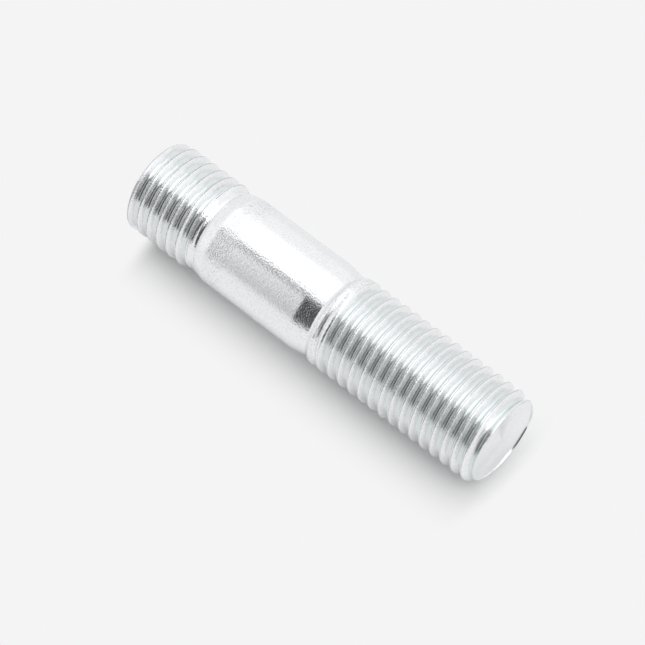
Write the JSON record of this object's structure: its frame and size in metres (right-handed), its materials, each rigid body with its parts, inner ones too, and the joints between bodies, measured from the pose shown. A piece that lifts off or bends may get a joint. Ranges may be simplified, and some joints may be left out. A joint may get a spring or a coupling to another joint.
{
  "type": "sprocket bolt",
  "caption": "Headless sprocket stud bolt: a short right-hand thread, a plain shank between two cones, and a long right-hand thread for the nut, with flat chamfered ends.",
  "frame": {"origin": "centre of the flat face of the hub end, on the stud's axis", "axes": "+Z along the stud's axis, from the short hub thread up to the long nut thread"},
  "size_m": [0.0098, 0.0098, 0.0434],
  "materials": {
    "zinc_plated_steel": "bright zinc plating over turned and thread-rolled steel"
  },
  "bodies": {
    "root": {"stud": "zinc_plated_steel"}
  },
  "joints": []
}
